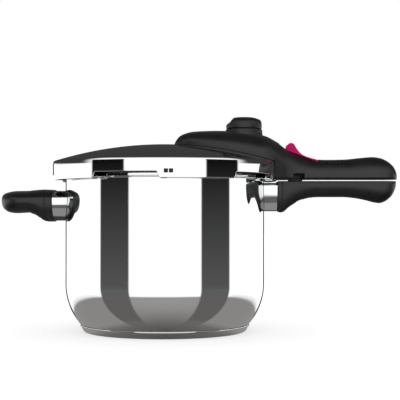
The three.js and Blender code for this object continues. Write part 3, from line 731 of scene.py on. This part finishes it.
def satinSteel():
    # stainless wire, strip and screws, blasted: a soft grey metal with a fine grain of 0.25 mm
    material, tree, shader, where = newMaterial("satin stainless steel")
    setShader(shader, Base_Color=linear("#B9BBBE"), Metallic=1.0)
    grain = addNode(tree, "ShaderNodeTexNoise", {"Vector": where}, Scale=1 / 0.00025, Detail=4.0)
    rough = addNode(tree, "ShaderNodeMapRange", {"Value": grain.outputs[0]},
                    in1=0.3, in2=0.7, in3=0.24, in4=0.38)
    bump = addNode(tree, "ShaderNodeBump", {"Height": grain.outputs[0]}, Strength=0.25, Distance=0.00002)
    tree.links.new(rough.outputs[0], shader.inputs["Roughness"])
    tree.links.new(bump.outputs[0], shader.inputs["Normal"])
    return material


def blackenedSteel():
    # hardened steel with a black oxide skin: dark, half matt, blotched every 3 mm or so
    material, tree, shader, where = newMaterial("black oxide steel")
    setShader(shader, Metallic=0.6)
    blotch = addNode(tree, "ShaderNodeTexNoise", {"Vector": where}, Scale=1 / 0.003, Detail=4.0)
    tone = addNode(tree, "ShaderNodeValToRGB", {"Fac": blotch.outputs[0]},
                   stops=[(0.3, "#16161A"), (0.7, "#202124")]).outputs[0]
    rough = addNode(tree, "ShaderNodeMapRange", {"Value": blotch.outputs[0]},
                    in1=0.3, in2=0.7, in3=0.4, in4=0.55)
    tree.links.new(tone, shader.inputs["Base Color"])
    tree.links.new(rough.outputs[0], shader.inputs["Roughness"])
    return material


def turnedMetal(name, colour, roughness, pitch):
    # metal turned on a lathe: fine rings round an upright axis, one for each pass of the tool
    material, tree, shader, where = newMaterial(name)
    setShader(shader, Base_Color=linear(colour), Metallic=1.0)
    rings = addNode(tree, "ShaderNodeTexWave", {"Vector": where}, wave_type="BANDS", bands_direction="Z",
                    Scale=1 / (pitch * 20), Distortion=0.6, Detail=1.0)
    tarnish = addNode(tree, "ShaderNodeTexNoise", {"Vector": where}, Scale=1 / 0.004, Detail=3.0)
    rough = addNode(tree, "ShaderNodeMapRange", {"Value": tarnish.outputs[0]},
                    in1=0.3, in2=0.7,
                    in3=roughness, in4=roughness + 0.12)
    bump = addNode(tree, "ShaderNodeBump", {"Height": rings.outputs[1]}, Strength=0.2, Distance=0.00002)
    tree.links.new(rough.outputs[0], shader.inputs["Roughness"])
    tree.links.new(bump.outputs[0], shader.inputs["Normal"])
    return material


def mouldedPhenolic():
    # black phenolic from a fine-sparked mould: satin, with a skin texture of about 0.4 mm and slightly
    # uneven gloss where hands polish it
    material, tree, shader, where = newMaterial("black moulded phenolic")
    setShader(shader, IOR=1.5, Sheen_Weight=0.08, Sheen_Roughness=0.35)
    skin = addNode(tree, "ShaderNodeTexNoise", {"Vector": where}, Scale=1 / 0.0004, Detail=3.0,
                   Roughness=0.6)
    worn = addNode(tree, "ShaderNodeTexNoise", {"Vector": where}, Scale=1 / 0.016, Detail=2.0)
    rough = addNode(tree, "ShaderNodeMapRange", {"Value": worn.outputs[0]},
                    in1=0.3, in2=0.7, in3=0.40, in4=0.47)
    bump = addNode(tree, "ShaderNodeBump", {"Height": skin.outputs[0]}, Strength=0.3, Distance=0.00003)
    tone = addNode(tree, "ShaderNodeValToRGB", {"Fac": worn.outputs[0]},
                   stops=[(0.3, "#0B0B0C"), (0.7, "#101011")]).outputs[0]
    tree.links.new(tone, shader.inputs["Base Color"])
    tree.links.new(rough.outputs[0], shader.inputs["Roughness"])
    tree.links.new(bump.outputs[0], shader.inputs["Normal"])
    return material


def mouldedPlastic():
    # magenta ABS with a soft matt skin and a faint flow mottle
    material, tree, shader, where = newMaterial("magenta moulded ABS")
    setShader(shader, IOR=1.54, Specular_IOR_Level=0.1)
    flow = addNode(tree, "ShaderNodeTexNoise", {"Vector": where}, Scale=1 / 0.006, Detail=2.0)
    tone = addNode(tree, "ShaderNodeValToRGB", {"Fac": flow.outputs[0]},
                   stops=[(0.3, "#A20050"), (0.7, "#AA0056")]).outputs[0]
    rough = addNode(tree, "ShaderNodeMapRange", {"Value": flow.outputs[0]},
                    in1=0.3, in2=0.7, in3=0.5, in4=0.6)
    tree.links.new(tone, shader.inputs["Base Color"])
    tree.links.new(rough.outputs[0], shader.inputs["Roughness"])
    return material


def mouldedSilicone():
    # black silicone rubber: matt, with a 0.6 mm dusting of powder in its pores
    material, tree, shader, where = newMaterial("black moulded silicone")
    setShader(shader, IOR=1.41)
    dust = addNode(tree, "ShaderNodeTexNoise", {"Vector": where}, Scale=1 / 0.0006, Detail=3.0)
    tone = addNode(tree, "ShaderNodeValToRGB", {"Fac": dust.outputs[0]},
                   stops=[(0.3, "#0D0D0E"), (0.7, "#151516")]).outputs[0]
    rough = addNode(tree, "ShaderNodeMapRange", {"Value": dust.outputs[0]},
                    in1=0.3, in2=0.7, in3=0.45, in4=0.6)
    tree.links.new(tone, shader.inputs["Base Color"])
    tree.links.new(rough.outputs[0], shader.inputs["Roughness"])
    return material


finishes = {
    "mirror_steel": polishedSteel(),
    "satin_steel": satinSteel(),
    "cast_aluminium": turnedMetal("turned aluminium", "#C4C6C8", 0.34, 0.0006),
    "valve_brass": turnedMetal("turned brass", "#C99E4E", 0.22, 0.0003),
    "black_phenolic": mouldedPhenolic(),
    "black_silicone": mouldedSilicone(),
    "black_oxide_steel": blackenedSteel(),
    "magenta_plastic": mouldedPlastic(),
}

# piece: (body, CAD nodes that it stands for, slot)
stands = {
    "pan": ("pot", ["pot_body"], "mirror_steel"),
    "base_plate": ("pot", ["base_cap"], "mirror_steel"),
    "lid": ("lid", ["lid_shell"], "mirror_steel"),
    "upper_grip": ("lid", ["upper_handle"], "black_phenolic"),
    "grip_cover": ("lid", ["handle_base_cover"], "black_phenolic"),
    "lower_grip": ("pot", ["lower_handle"], "black_phenolic"),
    "helper_grip": ("pot", ["helper_handle"], "black_phenolic"),
    "long_sleeve": ("pot", ["long_handle_sleeve"], "mirror_steel"),
    "helper_sleeve_fine": ("pot", ["helper_sleeve"], "mirror_steel"),
    "selector_cap": ("selector", ["selector_knob"], "black_phenolic"),
    "thumb_slider": ("slider", ["unlock_slider"], "magenta_plastic"),
}
for name, (body, nodes, slot) in stands.items():
    piece = pieces[name]
    piece.data.materials.clear()
    piece.data.materials.append(finishes[slot])
    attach(piece, body)
    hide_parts(*nodes)

slotOf = {part["node"]: part["material_slot"] for part in frame["record"]["subparts"]}
for node, thing in frame["nodes"].items():
    for place in thing.material_slots:
        place.material = finishes[slotOf[node]]
print("finishes set")


# studio

camera = dict(place=(39.2, -1218.0, 128.5), tilt=0.83, lens=97.65, sensor=36.0)
studio = dict(white=1.42, floorLight=1.55, turn=-1.85, flagNear=41.25, flagFar=78.05, flagSoft=1.2,
              flagTop=15.0, flagTones=(0.145, 0.007), ceiling=0.052, ceilingFrom=3.1,
              ceilingTo=(25.0, 55.0), under=0.03, stripHalf=22.0, stripTone=0.05, floorGlow=0.6)


def makeWorld():
    # a white tent for the lens and the floor; what shines sees two tall dark flags beside the camera and a
    # dark ceiling that starts low behind the cooker and high in front of it, from the direction alone
    world = bpy.data.worlds.new("studio")
    bpy.context.scene.world = world
    world.use_nodes = True
    tree = world.node_tree
    tree.nodes.clear()
    s = studio
    way = addNode(tree, "ShaderNodeTexCoord").outputs["Generated"]
    turnedWay = addNode(tree, "ShaderNodeVectorRotate", {"Vector": way}, rotation_type="Z_AXIS",
                        Angle=math.radians(s["turn"])).outputs[0]
    x, y, z = addNode(tree, "ShaderNodeSeparateXYZ", {0: turnedWay}).outputs
    sine = lambda angle: math.sin(math.radians(angle))
    cosine = lambda angle: math.cos(math.radians(angle))
    level = addNode(tree, "ShaderNodeCombineXYZ", {0: x, 1: y}).outputs[0]
    level = addNode(tree, "ShaderNodeVectorMath", {0: level}, operation="NORMALIZE").outputs[0]
    aside = addNode(tree, "ShaderNodeVectorMath", {0: level}, in1=(0.0, -1.0, 0.0),
                    operation="DOT_PRODUCT").outputs["Value"]  # cosine of the turn from -Y
    soft = s["flagSoft"]
    beyond = step(tree, aside, cosine(s["flagNear"] + soft), cosine(s["flagNear"] - soft))
    within = step(tree, aside, cosine(s["flagFar"] + soft), cosine(s["flagFar"] - soft))
    flag = mix(tree, beyond, within, 0.0)
    flag = mix(tree, step(tree, z, sine(s["flagTop"] + 3), sine(s["flagTop"] - 3)), 0.0, flag)
    flagTone = addNode(tree, "ShaderNodeMapRange", {"Value": z}, in1=-0.1, in2=0.05, in3=s["flagTones"][0],
                       in4=s["flagTones"][1]).outputs[0]
    front = step(tree, y, 0.05, -0.3)
    low = step(tree, z, sine(s["ceilingFrom"] - 0.3), sine(s["ceilingFrom"] + 0.3))
    high = step(tree, z, sine(s["ceilingTo"][0]), sine(s["ceilingTo"][1]))
    ceiling = mix(tree, front, low, high)
    steep = mix(tree, front, step(tree, z, sine(-10), sine(-24)), step(tree, z, sine(-28), sine(-44)))
    tent = mix(tree, steep, mix(tree, ceiling, s["white"], s["ceiling"]), s["under"])
    light = mix(tree, flag, tent, mix(tree, steep, flagTone, s["under"]))
    strip = step(tree, aside, cosine(180 - s["stripHalf"] + 1), cosine(180 - s["stripHalf"] - 1))
    light = mix(tree, strip, s["stripTone"], light)
    ray = addNode(tree, "ShaderNodeLightPath").outputs
    seen = mix(tree, ray["Is Camera Ray"], mix(tree, ray["Is Diffuse Ray"], light, s["floorLight"]), 1.0)
    back = addNode(tree, "ShaderNodeBackground", {"Strength": seen}, Color=(1.0, 1.0, 1.0, 1.0))
    addNode(tree, "ShaderNodeOutputWorld", {"Surface": back.outputs[0]})


def makeFloor():
    # a wide pale floor for the lens
    wide = 6000.0
    sheet = prism("floor", [(-wide, -wide), (wide, -wide), (wide, wide), (-wide, wide)], (-40.0, 0.0), "z")
    material, tree, shader, where = newMaterial("pale studio floor")
    setShader(shader, Base_Color=linear("#9E9E9E"), Roughness=0.9, Emission_Color=(1, 1, 1, 1),
              Emission_Strength=studio["floorGlow"])  # part of its light is its own: a soft contact shade
    sheet.data.materials.append(material)
    sheet.visible_glossy = False


shade = dict(centre=-85.0, half=(224.0, 175.0), near=0.105, far=0.41, fade=23.0, side=0.325, band=0.152,
             tint=(1.02, 0.985, 0.955, 1.0))


def makeFloorShade():
    # the cooker's shade on the floor, painted on a glowing sheet which only reflections see. Each point of
    # the sheet lies where a ray from the lens lands after it meets the pan's corner: ray = way - 2 (way .
    # normal) normal, and place = start + ray * t
    s, f = studio, shade
    turn = np.radians(np.arange(-89.5, 89.6, 0.5))[:, None]
    lean = np.radians(np.linspace(3.2, 50, 120))[None, :]
    reach = pan["radius"] - pan["corner"] + pan["corner"] * np.cos(lean)
    full = lambda value: np.broadcast_to(value, (turn.size, lean.size))
    start = np.stack([reach * np.sin(turn), -reach * np.cos(turn),
                      full(pan["cornerZ"] - pan["corner"] * np.sin(lean))], axis=-1)
    normal = np.stack([np.sin(turn) * np.cos(lean), -np.cos(turn) * np.cos(lean), full(-np.sin(lean))],
                      axis=-1)
    way = start - np.array(camera["place"])
    way /= np.linalg.norm(way, axis=-1, keepdims=True)
    ray = way - 2 * (way * normal).sum(axis=-1, keepdims=True) * normal
    t = np.clip(start[..., 2] / np.maximum(-ray[..., 2], 1e-3), 0, 700)
    x, y = start[..., 0] + ray[..., 0] * t, start[..., 1] + ray[..., 1] * t
    z = np.full(x.shape, -0.2)
    ratio = np.hypot(x / f["half"][0], (y - f["centre"]) / f["half"][1])
    cover = 1 - smoothStep(ratio, 0.9, 1.1)
    aside = np.abs(np.degrees(np.arctan2(ray[..., 0], -ray[..., 1])) + s["turn"])
    d = t * np.hypot(ray[..., 0], ray[..., 1])
    middle = f["near"] + (f["far"] - f["near"]) * (1 - np.exp(-d / f["fade"]))
    bare = middle + (f["side"] - middle) * smoothStep(aside, 20, 88) * smoothStep(d, 6, 14)
    near, far, soft = s["flagNear"], s["flagFar"], s["flagSoft"]
    # painted shade: the tone is darker in two bands where the reflected rays point towards the dark flags
    band = smoothStep(aside, near - soft, near + soft) * (1 - smoothStep(aside, far - soft, far + soft))
    tone = bare + (f["band"] - bare) * band * (0.4 + 0.6 * smoothStep(d, 3, 16))
    data = bpy.data.meshes.new("floor_shade")
    points = np.stack([x, y, z], axis=-1).reshape(-1, 3)
    data.from_pydata((points * mm).tolist(), [], gridFaces(*x.shape).tolist())
    for name, values in dict(cover=cover, tone=tone).items():
        layer = data.attributes.new(name, "FLOAT", "POINT")
        layer.data.foreach_set("value", np.broadcast_to(values, x.shape).astype(np.float32).ravel())
    sheet = bpy.data.objects.new("floor_shade", data)
    bpy.context.scene.collection.objects.link(sheet)
    material = bpy.data.materials.new("shade on the floor")
    material.use_nodes = True
    tree = material.node_tree
    tree.nodes.clear()
    cover = addNode(tree, "ShaderNodeAttribute", attribute_name="cover").outputs["Fac"]
    tone = addNode(tree, "ShaderNodeAttribute", attribute_name="tone").outputs["Fac"]
    shine = addNode(tree, "ShaderNodeEmission", {"Strength": tone}, Color=f["tint"])
    clear = addNode(tree, "ShaderNodeBsdfTransparent")
    both = addNode(tree, "ShaderNodeMixShader", {0: cover, 1: clear.outputs[0], 2: shine.outputs[0]})
    addNode(tree, "ShaderNodeOutputMaterial", {"Surface": both.outputs[0]})
    data.materials.append(material)
    sheet.visible_camera = sheet.visible_diffuse = sheet.visible_shadow = False


def makeCamera():
    data = bpy.data.cameras.new("camera")
    data.lens, data.sensor_width = camera["lens"], camera["sensor"]
    data.clip_start, data.clip_end = 0.05, 60.0
    eye = bpy.data.objects.new("camera", data)
    bpy.context.scene.collection.objects.link(eye)
    eye.location = [v * mm for v in camera["place"]]
    eye.rotation_euler = (math.radians(90 + camera["tilt"]), 0, 0)
    bpy.context.scene.camera = eye


makeWorld()
makeFloor()
makeFloorShade()
makeCamera()
bpy.context.scene.view_settings.view_transform = "Standard"
print("studio ready")
